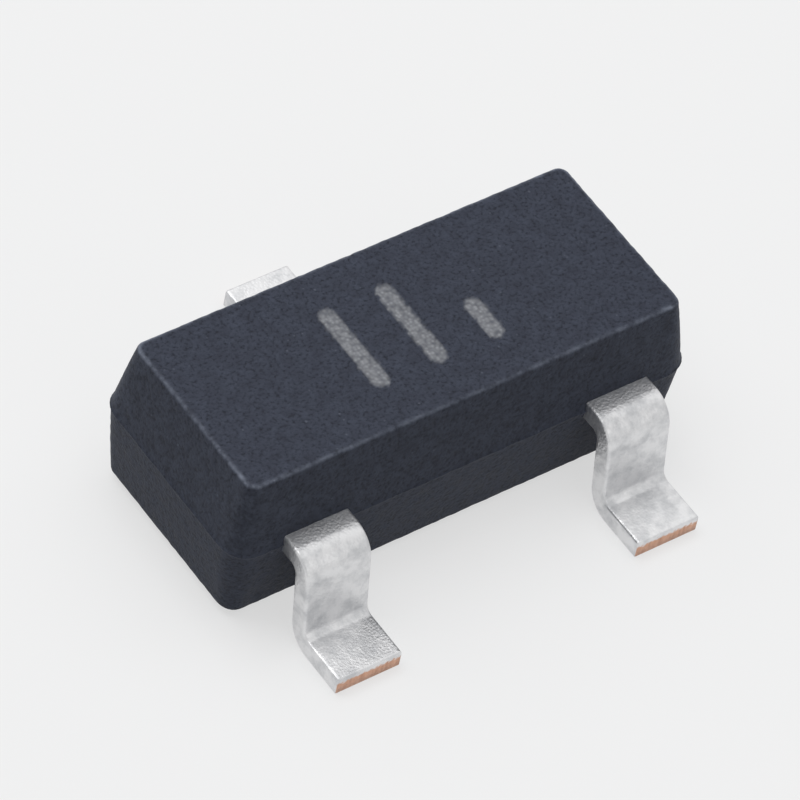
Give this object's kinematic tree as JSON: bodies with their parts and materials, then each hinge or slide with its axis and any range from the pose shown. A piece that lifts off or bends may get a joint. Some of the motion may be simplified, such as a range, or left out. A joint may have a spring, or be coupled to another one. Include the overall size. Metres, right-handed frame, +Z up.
{
  "type": "sot-23 transistor",
  "caption": "Small surface-mount transistor: a black drafted epoxy body with flat tinned gull-wing leads, two on one long side and one on the other.",
  "frame": {"origin": "middle of the part on the seating plane, under the feet", "axes": "+Z up from the seating plane, +X along the body from the base lead to the emitter lead, +Y across the body towards the single collector lead"},
  "size_m": [0.0028, 0.0024, 0.001],
  "materials": {
    "epoxy_moulding": "fine matte moulded grain",
    "tinned_lead": "matte tin plating over copper alloy strip",
    "silver_adhesive": "cured silver-filled adhesive",
    "silicon": "polished silicon",
    "gold_wire": "drawn gold wire"
  },
  "bodies": {
    "root": {"moulded_body": "epoxy_moulding", "base_lead": "tinned_lead", "emitter_lead": "tinned_lead", "collector_lead": "tinned_lead", "die_attach": "silver_adhesive", "transistor_die": "silicon", "base_bond_wire": "gold_wire", "emitter_bond_wire": "gold_wire"}
  },
  "joints": []
}
